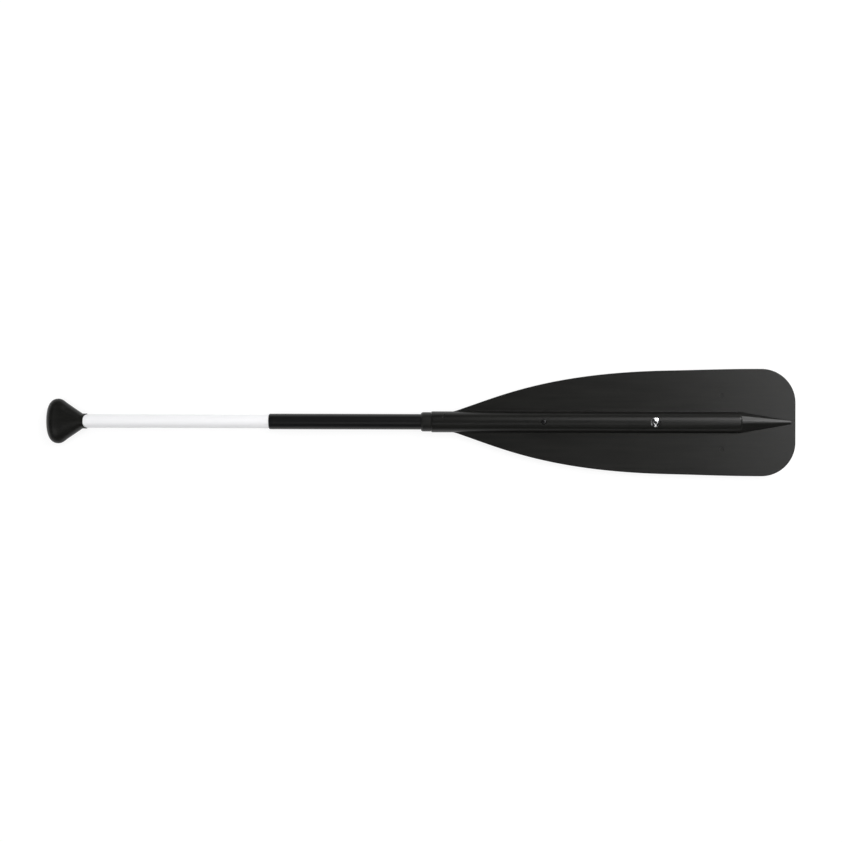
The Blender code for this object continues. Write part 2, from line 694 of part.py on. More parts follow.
def make_grip(parts, cutters, material, parent):
    """Palm grip: turned, then pressed flatter, so that it is no thicker than the blade's rib.

    Its end is rounded in the side view too, and its mouth reaches further along the tube at the sides.
    """
    outline = grip_profile()
    profile = [(outline[0][0], 0), *outline]
    grip = to_mesh(turned("palm_grip", profile, parts, along_shaft(GRIP_END_X)))
    mouth_radius = outline[0][1]
    flattening = math.log(RIB_RADIUS / mouth_radius) / math.log(GRIP_WIDTH / 2 / mouth_radius)
    reach = 1 / math.cos(math.pi / SHAFT_SIDES)
    for vertex in grip.data.vertices:
        radius = math.hypot(vertex.co.x, vertex.co.y) / reach
        if radius < SEAT_GAP:
            continue
        if vertex.co.z < GRIP_WIDEST_FROM_END:
            rise = 1 - vertex.co.z / GRIP_WIDEST_FROM_END
            vertex.co.x *= RIB_RADIUS * math.sqrt(1 - rise * rise) / radius
        else:
            vertex.co.x *= (mouth_radius / radius) ** (1 - flattening)
        if vertex.co.z > GRIP_LENGTH - SEAT_GAP:
            vertex.co.z += GRIP_MOUTH_DIP * (vertex.co.y / radius / reach) ** 4
    grip.data.materials.append(material)
    attach(grip, parent, along_shaft(GRIP_END_X))
    group = new_collection("palm_grip_cutters", cutters)
    round_cutter(
        "grip_socket",
        INNER_RADIUS + SEAT_GAP,
        0,
        GRIP_SOCKET_DEPTH + GRIP_MOUTH_DIP + GRIP_MOUTH_WALL,
        group,
        along_shaft(GRIP_MOUTH_X - GRIP_SOCKET_DEPTH),
        SHAFT_SIDES,
    )
    screw_place = out_of_shaft(SCREW_X, REAR)
    hole_radius = SCREW_DIAMETER / 2 + PIN_CLEARANCE
    round_cutter("grip_screw_hole", hole_radius, 0, AXIS_HEIGHT, group, screw_place)
    head_seat = INNER_RADIUS + SEAT_GAP + SCREW_RECESS_FLOOR
    recess_radius = SCREW_HEAD_DIAMETER / 2 + PIN_CLEARANCE
    round_cutter("grip_screw_recess", recess_radius, head_seat, AXIS_HEIGHT, group, screw_place)
    cut(grip, group)
    return grip


def make_grip_screw(parts, material, parent):
    """Pan-head screw through the grip into the inner shaft's wall."""
    seat = INNER_RADIUS + SEAT_GAP + SCREW_RECESS_FLOOR + SEAT_GAP
    head = SCREW_HEAD_DIAMETER / 2
    shank = SCREW_DIAMETER / 2
    dome = arc((seat + SCREW_HEAD_HEIGHT / 2, 0), (SCREW_HEAD_HEIGHT / 2, head), 0, 90, DOME_STEPS)
    profile = [
        *dome,
        (seat, head),
        (seat, shank),
        (seat - SCREW_LENGTH + shank, shank),
        (seat - SCREW_LENGTH, 0),
    ]
    place = out_of_shaft(SCREW_X, REAR)
    return turned("grip_screw", profile, parts, place, material, sides=PIN_SIDES, parent=parent)


def main():
    remove_everything()
    parts = new_collection(OBJECT)
    cutters = new_collection("cutters")

    black_plastic = new_material("black_plastic", (0.012, 0.012, 0.012), 0.42)
    black_tube = new_material("black_anodised", (0.015, 0.015, 0.016), 0.38, 0.5)
    pale_tube = new_material("clear_anodised", (0.88, 0.89, 0.9), 0.35, 0.6)
    nylon = new_material("black_nylon", (0.02, 0.02, 0.02), 0.5)
    dark_steel = new_material("dark_steel", (0.05, 0.05, 0.05), 0.35, 0.9)
    spring_steel = new_material("spring_steel", (0.45, 0.45, 0.46), 0.3, 1.0)
    polished = new_material("polished_rivet", (0.8, 0.8, 0.8), 0.12, 1.0)
    foam = new_material("grey_foam", (0.3, 0.3, 0.3), 0.9)

    blade = make_blade(parts, cutters, black_plastic)
    make_socket_bush(parts, nylon, blade)
    make_stop_rivet(parts, polished, blade)

    outer_slide = new_empty("outer_slide", parts, (OUTER_MOUTH_X, 0, AXIS_HEIGHT), blade)
    make_outer_shaft(parts, cutters, black_tube, outer_slide)
    make_guide_bush(parts, cutters, nylon, outer_slide)
    make_spring(
        "lower_lock_spring",
        LOWER_BUTTON_X,
        FRONT,
        OUTER_BORE,
        LOWER_STRIP_WIDTH,
        LOWER_SPRING_LENGTH,
        parts,
        spring_steel,
        outer_slide,
    )
    make_button(
        "lower_lock_button",
        LOWER_BUTTON_X,
        FRONT,
        OUTER_BORE,
        LOWER_STRIP_WIDTH,
        LOWER_BUTTON_DIAMETER,
        RIB_RADIUS + LOWER_BUTTON_PROUD,
        parts,
        dark_steel,
        outer_slide,
    )

    inner_slide = new_empty("inner_slide", parts, (GRIP_MOUTH_X, 0, AXIS_HEIGHT), outer_slide)
    make_inner_shaft(parts, cutters, pale_tube, inner_slide)
    make_plug(parts, foam, inner_slide)
    make_spring(
        "upper_lock_spring",
        UPPER_BUTTON_X,
        REAR,
        INNER_BORE,
        UPPER_STRIP_WIDTH,
        UPPER_SPRING_LENGTH,
        parts,
        spring_steel,
        inner_slide,
    )
    make_button(
        "upper_lock_button",
        UPPER_BUTTON_X,
        REAR,
        INNER_BORE,
        UPPER_STRIP_WIDTH,
        UPPER_BUTTON_DIAMETER,
        OUTER_RADIUS + UPPER_BUTTON_PROUD,
        parts,
        dark_steel,
        inner_slide,
    )
    make_grip(parts, cutters, black_plastic, inner_slide)
    make_grip_screw(parts, dark_steel, inner_slide)


main()
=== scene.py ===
"""Looks of a telescoping boat paddle, pulled out and lying on its back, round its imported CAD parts."""

import math

import bpy
from bpy.props import FloatProperty, FloatVectorProperty, IntProperty, PointerProperty, StringProperty
from mathutils import Matrix, Vector
from mathutils.geometry import interpolate_bezier


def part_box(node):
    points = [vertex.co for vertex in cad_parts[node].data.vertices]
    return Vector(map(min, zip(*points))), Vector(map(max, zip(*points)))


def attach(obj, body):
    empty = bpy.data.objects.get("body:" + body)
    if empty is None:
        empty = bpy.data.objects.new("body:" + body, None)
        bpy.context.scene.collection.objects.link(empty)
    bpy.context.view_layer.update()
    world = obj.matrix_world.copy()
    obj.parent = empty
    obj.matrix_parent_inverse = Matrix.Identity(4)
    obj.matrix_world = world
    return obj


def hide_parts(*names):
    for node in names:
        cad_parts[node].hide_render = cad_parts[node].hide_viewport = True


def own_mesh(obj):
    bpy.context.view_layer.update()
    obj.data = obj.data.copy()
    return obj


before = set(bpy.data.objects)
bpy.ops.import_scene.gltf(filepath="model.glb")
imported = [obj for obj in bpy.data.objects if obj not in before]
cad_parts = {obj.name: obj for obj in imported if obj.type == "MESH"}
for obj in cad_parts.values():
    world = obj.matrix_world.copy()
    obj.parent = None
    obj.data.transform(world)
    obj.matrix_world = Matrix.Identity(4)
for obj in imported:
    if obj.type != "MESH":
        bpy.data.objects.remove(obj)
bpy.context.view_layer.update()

bl_info = {
    "name": "Telescoping Boat Paddle",
    "version": (1, 0, 0),
    "blender": (4, 5, 0),
    "location": "3D View > Sidebar > Paddle",
    "description": "Builds the looks of a telescoping boat paddle round its packed CAD parts",
    "category": "Object",
}

MM = 0.001

# Directions as seen from the shaft's axis
FRONT = Vector((0, 0, 1))
REAR = Vector((0, 0, -1))
ALONG = Vector((1, 0, 0))

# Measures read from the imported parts
BLADE_LOW, BLADE_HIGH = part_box("blade")
BUSH_LOW, BUSH_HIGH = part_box("socket_bush")
OUTER_LOW, OUTER_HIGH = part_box("outer_shaft")
INNER_LOW, INNER_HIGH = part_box("inner_shaft")
GRIP_LOW, GRIP_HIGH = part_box("palm_grip")
RIVET_LOW, RIVET_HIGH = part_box("stop_rivet")
LOWER_BUTTON_LOW, LOWER_BUTTON_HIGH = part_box("lower_lock_button")
UPPER_BUTTON_LOW, UPPER_BUTTON_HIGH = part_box("upper_lock_button")
SCREW_LOW, SCREW_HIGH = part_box("grip_screw")

AXIS_HEIGHT = (OUTER_LOW.z + OUTER_HIGH.z) / 2
INNER_RADIUS = (INNER_HIGH.z - INNER_LOW.z) / 2
OUTER_RADIUS = (OUTER_HIGH.z - OUTER_LOW.z) / 2
RIVET_X = (RIVET_LOW.x + RIVET_HIGH.x) / 2
LOWER_BUTTON_X = (LOWER_BUTTON_LOW.x + LOWER_BUTTON_HIGH.x) / 2
UPPER_BUTTON_X = (UPPER_BUTTON_LOW.x + UPPER_BUTTON_HIGH.x) / 2
SCREW_X = (SCREW_LOW.x + SCREW_HIGH.x) / 2

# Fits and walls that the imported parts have
SEAT_GAP = 0.3 * MM
TUBE_WALL = 1.2 * MM
TUBE_CLEARANCE = 0.375 * MM
RIB_RADIUS = 15.0 * MM
RIB_BORE = 12.7 * MM
OUTER_BORE = INNER_RADIUS + TUBE_CLEARANCE
BUSH_BORE = OUTER_RADIUS + SEAT_GAP
RIVET_SEAT = RIB_RADIUS - 1.3 * MM
LOWER_HOLE_RADIUS = 3.8 * MM
UPPER_HOLE_RADIUS = 3.3 * MM
SCREW_HOLE_RADIUS = 1.8 * MM

# From the shaft's axis to outside the rib and the grip
CLEAR = 20.0 * MM


# Drawing and turning


def begin(obj=None):
    """Leave edit mode and select one piece alone, or nothing before a new one is made."""
    if bpy.context.object and bpy.context.object.mode != "OBJECT":
        bpy.ops.object.mode_set(mode="OBJECT")
    bpy.ops.object.select_all(action="DESELECT")
    if obj:
        obj.select_set(True)
        bpy.context.view_layer.objects.active = obj


def drawn(name, points):
    """Draw a chain of vertices by extruding one from the last, and stay in edit mode."""
    begin()
    bpy.ops.mesh.primitive_plane_add(size=MM, location=points[0])
    bpy.context.object.name = name
    bpy.ops.object.mode_set(mode="EDIT")
    bpy.ops.mesh.merge(type="CENTER")
    for before, after in zip(points, points[1:]):
        bpy.ops.mesh.extrude_region_move(TRANSFORM_OT_translate={"value": after - before})
    bpy.ops.mesh.select_all(action="SELECT")
    return bpy.context.object


def closed_up():
    """Weld what is selected in edit mode, face it outwards, and put the piece's place into its mesh."""
    bpy.ops.mesh.select_all(action="SELECT")
    bpy.ops.mesh.remove_doubles(threshold=1e-6)
    bpy.ops.mesh.normals_make_consistent(inside=False)
    bpy.ops.object.mode_set(mode="OBJECT")
    bpy.ops.object.transform_apply(location=True, rotation=True, scale=True)
    return bpy.context.object


def spun(name, profile, origin, along, sides):
    """Spin a profile of (place along the axis, radius) once round; one that ends where it began is a tube."""
    origin = Vector(origin)
    out = FRONT if along == ALONG else ALONG
    points = [origin + along * place + out * radius for place, radius in profile]
    drawn(name, points)
    bpy.ops.mesh.spin(steps=sides, angle=2 * math.pi, center=origin, axis=along)
    return closed_up()


def on_shaft(x):
    return Vector((x, 0, AXIS_HEIGHT))


def pin(name, x, side, low, high, radius, sides=64):
    """A round cutter across the shaft between two distances from its axis."""
    return spun(name, [(low, 0), (low, radius), (high, radius), (high, 0)], on_shaft(x), side, sides)


def arc(centre, radii, start, end, steps):
    """Points on an ellipse's arc, angles in degrees from the first coordinate's axis."""
    angles = [math.radians(start + (end - start) * i / steps) for i in range(steps + 1)]
    return [
        (centre[0] + radii[0] * math.cos(angle), centre[1] + radii[1] * math.sin(angle))
        for angle in angles
    ]


def bezier(start, start_handle, end_handle, end, steps):
    ends = [Vector((*p, 0)) for p in (start, start_handle, end_handle, end)]
    return [(p.x, p.y) for p in interpolate_bezier(*ends, steps + 1)]


def apply_modifier(obj, kind, **settings):
    """Finish a piece with a modifier."""
    begin(obj)
    modifier = obj.modifiers.new(kind.title(), kind)
    for name, value in settings.items():
        setattr(modifier, name, value)
    bpy.ops.object.modifier_apply(modifier=modifier.name)


def combine(obj, others, operation):
    """Unite a piece with others, or cut them out of it, in one go."""
    group = bpy.data.collections.new("operands")
    bpy.context.scene.collection.children.link(group)
    for other in others:
        for collection in list(other.users_collection):
            collection.objects.unlink(other)
        group.objects.link(other)
    apply_modifier(
        obj, "BOOLEAN", operation=operation, solver="EXACT", operand_type="COLLECTION", collection=group
    )
    for other in others:
        bpy.data.objects.remove(other, do_unlink=True)
    bpy.data.collections.remove(group)


def own_copy(obj):
    """A copy with its own mesh."""
    copy = obj.copy()
    copy.data = obj.data.copy()
    bpy.context.scene.collection.objects.link(copy)
    return copy


def mirrored(obj, mirror):
    """A copy mirrored by a matrix, with its faces still facing out."""
    copy = own_copy(obj)
    copy.data.transform(mirror)
    if mirror.is_negative:
        copy.data.flip_normals()
    return copy


def smooth(obj, angle=30):
    """Smooth shading up to an angle, with flat faces kept flat."""
    begin(obj)
    bpy.ops.object.shade_smooth_by_angle(angle=math.radians(angle))
    apply_modifier(obj, "WEIGHTED_NORMAL", keep_sharp=True)


def dress(obj, finish, slot, body, *nodes):
    """Give a piece its finish, the body that it rides on and the CAD nodes that it stands for."""
    obj.data.materials.clear()
    obj.data.materials.append(finish)
    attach(obj, body)
    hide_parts(*nodes)


# Finishes


def linear(colour):
    """A hex sRGB colour as the linear values that a shader takes."""
    parts = [int(colour[i : i + 2], 16) / 255 for i in (1, 3, 5)]
    return (*((c / 12.92 if c <= 0.04045 else ((c + 0.055) / 1.055) ** 2.4) for c in parts), 1)


def add_node(tree, kind, values=None, links=None, **settings):
    """Add a node with its settings, its sockets' values and its sockets' links."""
    node = tree.nodes.new(kind)
    for name, value in settings.items():
        setattr(node, name, value)
    for socket, value in (values or {}).items():
        node.inputs[socket].default_value = value
    for socket, source in (links or {}).items():
        tree.links.new(source, node.inputs[socket])
    return node


def new_finish(name, colour, roughness, metallic=0.0, ior=1.5, specular=0.5):
    """A material with its constants on the shader's own sockets."""
    material = bpy.data.materials.new(name)
    material.use_nodes = True
    shader = material.node_tree.nodes["Principled BSDF"]
    shader.inputs["Base Color"].default_value = linear(colour)
    shader.inputs["Roughness"].default_value = roughness
    shader.inputs["Metallic"].default_value = metallic
    shader.inputs["IOR"].default_value = ior
    shader.inputs["Specular IOR Level"].default_value = specular
    material.diffuse_color = linear(colour)
    return material, material.node_tree, shader


def add_surface(tree, shader, colours, patterns, roughness):
    """Vary a shader's colour and roughness by the first pattern, and its relief by each.

    A pattern is (its size in metres along X, its size across, detail, height). The colour runs from the
    first to the second of colours, or stays where there is one, and the roughness between its two ends.
    """
    place = add_node(tree, "ShaderNodeTexCoord").outputs["Object"]
    noises = []
    for along, across, detail, _height in patterns:
        scale = (1 / along, 1 / across, 1 / across)
        stretched = add_node(tree, "ShaderNodeMapping", {"Scale": scale}, {"Vector": place})
        values = {"Scale": 1.0, "Detail": detail, "Roughness": 0.55}
        noise = add_node(tree, "ShaderNodeTexNoise", values, {"Vector": stretched.outputs["Vector"]})
        noises.append(noise.outputs["Fac"])
    noise_range = {"From Min": 0.3, "From Max": 0.7}
    if len(colours) > 1:
        spread = add_node(tree, "ShaderNodeMapRange", noise_range, {"Value": noises[0]})
        ends = {6: linear(colours[0]), 7: linear(colours[1])}
        share = {0: spread.outputs["Result"]}
        tint = add_node(tree, "ShaderNodeMix", ends, share, data_type="RGBA")
        tree.links.new(tint.outputs[2], shader.inputs["Base Color"])
    gloss_range = {**noise_range, "To Min": roughness[0], "To Max": roughness[1]}
    gloss = add_node(tree, "ShaderNodeMapRange", gloss_range, {"Value": noises[0]})
    tree.links.new(gloss.outputs["Result"], shader.inputs["Roughness"])
    normal = None
    for noise, pattern in zip(noises, patterns):
        links = {"Height": noise}
        if normal:
            links["Normal"] = normal
        bump = add_node(tree, "ShaderNodeBump", {"Distance": pattern[3], "Strength": 1.0}, links)
        normal = bump.outputs["Normal"]
    tree.links.new(normal, shader.inputs["Normal"])


def shared_finish(name, colours, patterns, roughness, **constants):
    """A finish that is made once and shared by its pieces, its colours given by their settings' names."""
    known = bpy.data.materials.get(name)
    if known:
        return known
    look = bpy.context.scene.paddle_finish
    shades = [getattr(look, colour) for colour in colours]
    material, tree, shader = new_finish(name, shades[0], sum(roughness) / 2, **constants)
    add_surface(tree, shader, shades, patterns, roughness)
    return material


def black_polypropylene():
    # Injection-moulded black polypropylene: satin, with faint flow streaks along the blade. The mould's
    # spark-eroded grain is about 0.2 mm, too fine to show, and is drawn at 1.6 mm.
    streaks = (70 * MM, 4 * MM, 5.0, 0.03 * MM)
    grain = (1.6 * MM, 1.6 * MM, 2.0, 0.006 * MM)
    colours = ("plastic", "plastic_streak")
    return shared_finish(
        "moulded_black_polypropylene", colours, (streaks, grain), (0.31, 0.37), ior=1.49, specular=0.3
    )


def black_nylon():
    # Moulded black nylon of the bushes: a little duller and greyer than the blade, with the same grain.
    clouds = (12 * MM, 12 * MM, 3.0, 0.01 * MM)
    grain = (1.6 * MM, 1.6 * MM, 2.0, 0.008 * MM)
    colours = ("nylon", "plastic_streak")
    return shared_finish(
        "moulded_black_nylon", colours, (clouds, grain), (0.4, 0.46), ior=1.53, specular=0.3
    )


def black_anodised_aluminium():
    # Drawn aluminium tube, dyed black by anodising: the oxide is a satin dielectric skin over the
    # metal, with fine draw lines along the tube, about 0.1 mm apart and drawn at 0.9 mm.
    draw_lines = (220 * MM, 0.9 * MM, 3.0, 0.004 * MM)
    colours = ("black_tube", "black_tube_line")
    return shared_finish("black_anodised_aluminium", colours, (draw_lines,), (0.29, 0.35), specular=0.3)


def clear_anodised_aluminium():
    # Etched and clear anodised aluminium tube: a milky, nearly white satin that scatters most of the
    # light, with draw lines as on the black tube.
    draw_lines = (260 * MM, 0.9 * MM, 3.0, 0.003 * MM)
    colours = ("pale_tube", "pale_tube_line")
    return shared_finish("clear_anodised_aluminium", colours, (draw_lines,), (0.46, 0.54), metallic=0.05)


def polished_aluminium():
    # Burnished aluminium rivet: a mirror with faint tool marks, about 0.8 mm across.
    tool_marks = (0.8 * MM, 0.8 * MM, 2.0, 0.004 * MM)
    return shared_finish("polished_aluminium", ("rivet",), (tool_marks,), (0.1, 0.18), metallic=1.0)


def blackened_steel():
    # Black-oxide steel of the lock buttons and the screw: dark, oily satin metal.
    oil = (1.5 * MM, 1.5 * MM, 3.0, 0.003 * MM)
    return shared_finish("black_oxide_steel", ("dark_steel",), (oil,), (0.3, 0.42), metallic=1.0)


def spring_steel():
    # Cold-rolled spring strip: bright grey metal with rolling lines along the strip.
    rolling_lines = (30 * MM, 0.5 * MM, 3.0, 0.004 * MM)
    return shared_finish("rolled_spring_steel", ("spring",), (rolling_lines,), (0.26, 0.36), metallic=1.0)


def foamed_polyethylene():
    # Closed-cell polyethylene plug: dull grey, with cells about 0.8 mm across.
    cells = (0.8 * MM, 0.8 * MM, 2.0, 0.08 * MM)
    return shared_finish("foamed_grey_polyethylene", ("plug",), (cells,), (0.8, 0.9))


# Settings


def measure(name, description, default):
    """A setting that is a length."""
    return FloatProperty(name=name, description=description, default=default, unit="LENGTH")


def shade(name, description, default):
    """A setting that is an sRGB hex colour."""
    return StringProperty(name=name, description=description, default=default)


class PaddleBladeSizes(bpy.types.PropertyGroup):
    """Sizes of the blade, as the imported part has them.

    The roof is the spike past the rib. Its heights and half widths are those where the rib's chamfer begins.
    """

    plate_thickness: measure("Plate thickness", "Thickness of the flat blade", 3.6 * MM)
    edge_radius: measure("Edge radius", "Rounding of the blade's edge", 1.2 * MM)
    corner_radius: measure("Corner radius", "Radius of the two corners at the tip", 48.5 * MM)
    fillet_radius: measure("Fillet radius", "Radius where the rib meets the flat blade", 1.2 * MM)
    rib_end_from_tip: measure("Rib end", "From the tip to the end of the rib", 79.0 * MM)
    chamfer_length: measure("Rib end chamfer", "Length of the chamfer round the rib's end", 4.3 * MM)
    chamfer_depth: measure("Chamfer depth", "Depth of the chamfer round the rib's end", 2.2 * MM)
    ridge_height: measure("Ridge height", "From the blade's middle to the roof's ridge", 13.1 * MM)
    eave_height: measure("Eave height", "From the blade's middle to the roof's eaves", 8.9 * MM)
    eave_half_width: measure("Eave half width", "Half width of the roof at its eaves", 9.8 * MM)
    roof_half_width: measure("Roof half width", "Half width of the roof on the blade's face", 15.9 * MM)
    roof_end_from_tip: measure("Roof end", "From the blade's end to the roof's thin end", 7.0 * MM)
    roof_end_half_width: measure("Roof end half width", "Half width at the roof's thin end", 2.6 * MM)
    ridge_rounding: FloatProperty(
        name="Ridge rounding", description="Share of the roof's slope to round, in percent", default=24.0
    )
    roof_rounding: measure("Roof rounding", "Rounding of the roof's eaves", 0.4 * MM)
    rib_sides: IntProperty(
        name="Rib sides", description="Number of faces round the rib", default=144, min=24, max=256
    )


class PaddleTubeSizes(bpy.types.PropertyGroup):
    """Sizes of the shafts, bushes and small metal parts."""

    mouth_length: measure("Mouth rounding", "Length over which the black tube's mouth is eased", 2.5 * MM)
    mouth_depth: measure("Mouth depth", "How far the black tube's mouth is rounded inwards", 0.9 * MM)
    burr: measure("Edge break", "Small chamfer on cut tube ends and moulded rims", 0.25 * MM)
    sides: IntProperty(
        name="Sides", description="Number of faces round a shaft or bush", default=128, min=24, max=256
    )
    pin_sides: IntProperty(
        name="Pin sides", description="Number of faces round a rivet or button", default=64, min=16, max=128
    )


class PaddleGripSizes(bpy.types.PropertyGroup):
    """Sizes of the palm grip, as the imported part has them."""

    widest_from_end: measure("Widest place", "From the grip's end to its widest place", 16.9 * MM)
    taper_from_end: measure("Taper start", "From the grip's end to the straight taper", 30.9 * MM)
    taper_half_width: measure("Taper half width", "Half width where the taper starts", 24.5 * MM)
    collar_from_end: measure("Collar", "From the grip's end to the collar round the tube", 51.0 * MM)
    mouth_dip: measure("Mouth dip", "How much further the mouth reaches at its sides", 3.3 * MM)
    end_rounding: measure("End rounding", "How flat the grip's end is", 17.0 * MM)
    end_squareness: measure("End squareness", "How square the grip's end corners are", 13.5 * MM)
    socket_depth: measure("Socket depth", "Depth of the socket for the tube", 38.0 * MM)
    rings: IntProperty(
        name="Rings", description="Number of rings along the grip's rounded end", default=26, min=8, max=60
    )


class PaddleFinish(bpy.types.PropertyGroup):
    """Colours of the finishes, as sRGB hex values."""

    plastic: shade("Blade plastic", "Moulded black plastic", "#10100f")
    plastic_streak: shade("Plastic streaks", "Lighter streaks in the plastic", "#151513")
    nylon: shade("Bush nylon", "Moulded nylon of the bushes", "#121212")
    black_tube: shade("Black tube", "Black anodised tube", "#0f0f10")
    black_tube_line: shade("Black tube lines", "Draw lines on the black tube", "#131314")
    pale_tube: shade("Pale tube", "Clear anodised tube", "#f4f4f5")
    pale_tube_line: shade("Pale tube lines", "Draw lines on the pale tube", "#efeff1")
    rivet: shade("Rivet", "Polished aluminium", "#f1f2f3")
    dark_steel: shade("Dark steel", "Blackened steel", "#3a3a3b")
    spring: shade("Spring strip", "Spring steel", "#c3c3c5")
    plug: shade("Plug", "Foamed plastic of the plug", "#6b6c6d")


class PaddleStudio(bpy.types.PropertyGroup):
    """Camera, lamps, floor and backdrop."""

    lens: FloatProperty(name="Lens", description="Focal length in millimetres", default=45.0)
    distance: measure("Distance", "From the camera to the shaft's axis", 1.5)
    roll: FloatProperty(
        name="Roll", description="Turn of the picture", default=math.radians(0.13), subtype="ANGLE"
    )
    aim: FloatVectorProperty(
        name="Aim",
        description="What the middle of the picture looks at",
        default=(0.0, 1.1 * MM),
        size=2,
        unit="LENGTH",
    )
    floor_radius: measure("Floor radius", "Radius of the pale floor", 30.0)
    flag_height: measure("Flag height", "Height of the dark panel over the table", 2.3)
    flag_radius: measure("Flag radius", "Radius of the dark panel", 30.0)


# Pieces


def knot(point, slope, back, on):
    """A Bezier point between its two handles, which reach back and on along a slope."""
    length = math.hypot(1, slope)
    before, after = ((point[0] + reach / length, point[1] + slope * reach / length) for reach in (-back, on))
    return (before, point, after)


def blade_outline(sizes):
    """Bezier points of the blade's edge as (handle before, point, handle after), all the way round."""
    tip = BLADE_HIGH.x
    half_width = BLADE_HIGH.y
    neck_length = 27.4 * MM
    throat_length = 18.0 * MM
    throat_half_width = 19.44 * MM
    throat_slope = 0.343
    shoulder_from_tip = 180.7 * MM
    shoulder_half_width = 73.9 * MM
    shoulder_slope = 0.021
    root_radius = 3.0 * MM

    # How far the handles reach, back towards the mouth and on towards the tip
    neck_on = 6.0 * MM
    throat_back, throat_on = 4.5 * MM, 59.8 * MM
    shoulder_back, shoulder_on = 164.0 * MM, 52.0 * MM
    corner_back = 52.0 * MM

    neck = (BLADE_LOW.x + neck_length, RIB_RADIUS - SEAT_GAP)
    throat = (neck[0] + throat_length, throat_half_width)
    shoulder = (tip - shoulder_from_tip, shoulder_half_width)
    corner_start = (tip - sizes.corner_radius, half_width)
    corner_end = (tip, half_width - sizes.corner_radius)
    root = (neck[0] - root_radius, neck[1] - root_radius)
    # A handle of this share of the radius makes a quarter circle
    quarter = 4 / 3 * (math.sqrt(2) - 1)
    round_reach = sizes.corner_radius * quarter
    root_reach = root_radius * quarter
    upper = [
        (root, root, (root[0], root[1] + root_reach)),
        knot(neck, 0, root_reach, neck_on),
        knot(throat, throat_slope, throat_back, throat_on),
        knot(shoulder, shoulder_slope, shoulder_back, shoulder_on),
        knot(corner_start, 0, corner_back, round_reach),
        ((corner_end[0], corner_end[1] + round_reach), corner_end, corner_end),
    ]
    lower = [tuple((x, -y) for x, y in reversed(point)) for point in reversed(upper)]
    return upper + lower


def make_plate(sizes):
    """The flat blade, drawn as a closed curve and thickened with a rounded edge."""
    outline = blade_outline(sizes)
    begin()
    bpy.ops.curve.primitive_bezier_circle_add(location=(0, 0, AXIS_HEIGHT))
    obj = bpy.context.object
    curve = obj.data
    curve.dimensions = "2D"
    curve.fill_mode = "BOTH"
    curve.resolution_u = 36
    curve.extrude = sizes.plate_thickness / 2 - sizes.edge_radius
    curve.bevel_depth = sizes.edge_radius
    curve.bevel_resolution = 4
    curve.offset = -sizes.edge_radius
    spline = curve.splines[0]
    spline.bezier_points.add(len(outline) - len(spline.bezier_points))
    for point, (before, place, after) in zip(spline.bezier_points, outline):
        point.handle_left_type = point.handle_right_type = "FREE"
        point.handle_left = (*before, 0)
        point.co = (*place, 0)
        point.handle_right = (*after, 0)
    bpy.ops.object.convert(target="MESH")
    obj = bpy.context.object
    obj.name = "paddle_blade"
    bpy.ops.object.mode_set(mode="EDIT")
    return closed_up()


def make_rib(sizes):
    """The round rib, with an eased mouth and a chamfered end."""
    end = BLADE_HIGH.x - sizes.rib_end_from_tip - BLADE_LOW.x
    ease_length = 3.0 * MM
    ease_depth = 0.8 * MM
    mouth = arc((ease_length, RIB_RADIUS - ease_depth), (ease_length, ease_depth), 180, 90, 8)
    profile = [
        (0, 0),
        *mouth,
        (end - sizes.chamfer_length, RIB_RADIUS),
        (end, RIB_RADIUS - sizes.chamfer_depth),
        (end, 0),
    ]
    return spun("rib", profile, on_shaft(BLADE_LOW.x), ALONG, sizes.rib_sides)


def make_roof(sizes):
    """The spike past the rib, a roof on steep walls on each face, with its ridges and eaves eased."""
    face = sizes.plate_thickness / 2
    wall_spread = (sizes.roof_half_width - sizes.eave_half_width) / (sizes.eave_height - face)
    pitch = (sizes.ridge_height - sizes.eave_height) / sizes.eave_half_width
    start = BLADE_HIGH.x - sizes.rib_end_from_tip - sizes.chamfer_length
    end = BLADE_HIGH.x - sizes.roof_end_from_tip
    middle = (start + end) / 2
    begin()
    bpy.ops.mesh.primitive_cylinder_add(
        vertices=8, radius=1, depth=end - start, location=(middle, 0, 0), rotation=(0, math.pi / 2, 0)
    )
    obj = bpy.context.object
    obj.name = "roof"
    bpy.ops.object.transform_apply(location=True, rotation=True, scale=True)
    diagonal = math.sqrt(2)
    for vertex in obj.data.vertices:
        at_rib = vertex.co.x < middle
        half_width = sizes.eave_half_width if at_rib else sizes.roof_end_half_width
        height = sizes.eave_height if at_rib else face
        if min(abs(vertex.co.y), abs(vertex.co.z)) < SEAT_GAP:
            vertex.co.y *= half_width + wall_spread * height
            vertex.co.z *= height + pitch * half_width
        else:
            vertex.co.y *= half_width * diagonal
            vertex.co.z *= height * diagonal
    obj.data.transform(Matrix.Translation((0, 0, AXIS_HEIGHT)))
    bpy.ops.object.mode_set(mode="EDIT")
    bpy.ops.mesh.select_mode(type="EDGE")
    # The ridges are rounded in proportion to the roof's width, and the eaves a little all along.
    for widths, kind, rounding, segments in (
        ((0, 0), "PERCENT", sizes.ridge_rounding, 6),
        ((sizes.eave_half_width, sizes.roof_end_half_width), "OFFSET", sizes.roof_rounding, 3),
    ):
        bpy.ops.mesh.select_all(action="DESELECT")
        bpy.ops.object.mode_set(mode="OBJECT")
        for edge in obj.data.edges:
            near, far = sorted((obj.data.vertices[i].co for i in edge.vertices), key=lambda co: co.x)
            edge.select = far.x - near.x > middle - start and all(
                abs(co.z - AXIS_HEIGHT) > SEAT_GAP and abs(abs(co.y) - width) < 0.01 * MM
                for co, width in zip((near, far), widths)
            )
        bpy.ops.object.mode_set(mode="EDIT")
        bpy.ops.mesh.bevel(offset_type=kind, offset=rounding, offset_pct=rounding, segments=segments)
    bpy.ops.mesh.select_mode(type="VERT")
    return closed_up()


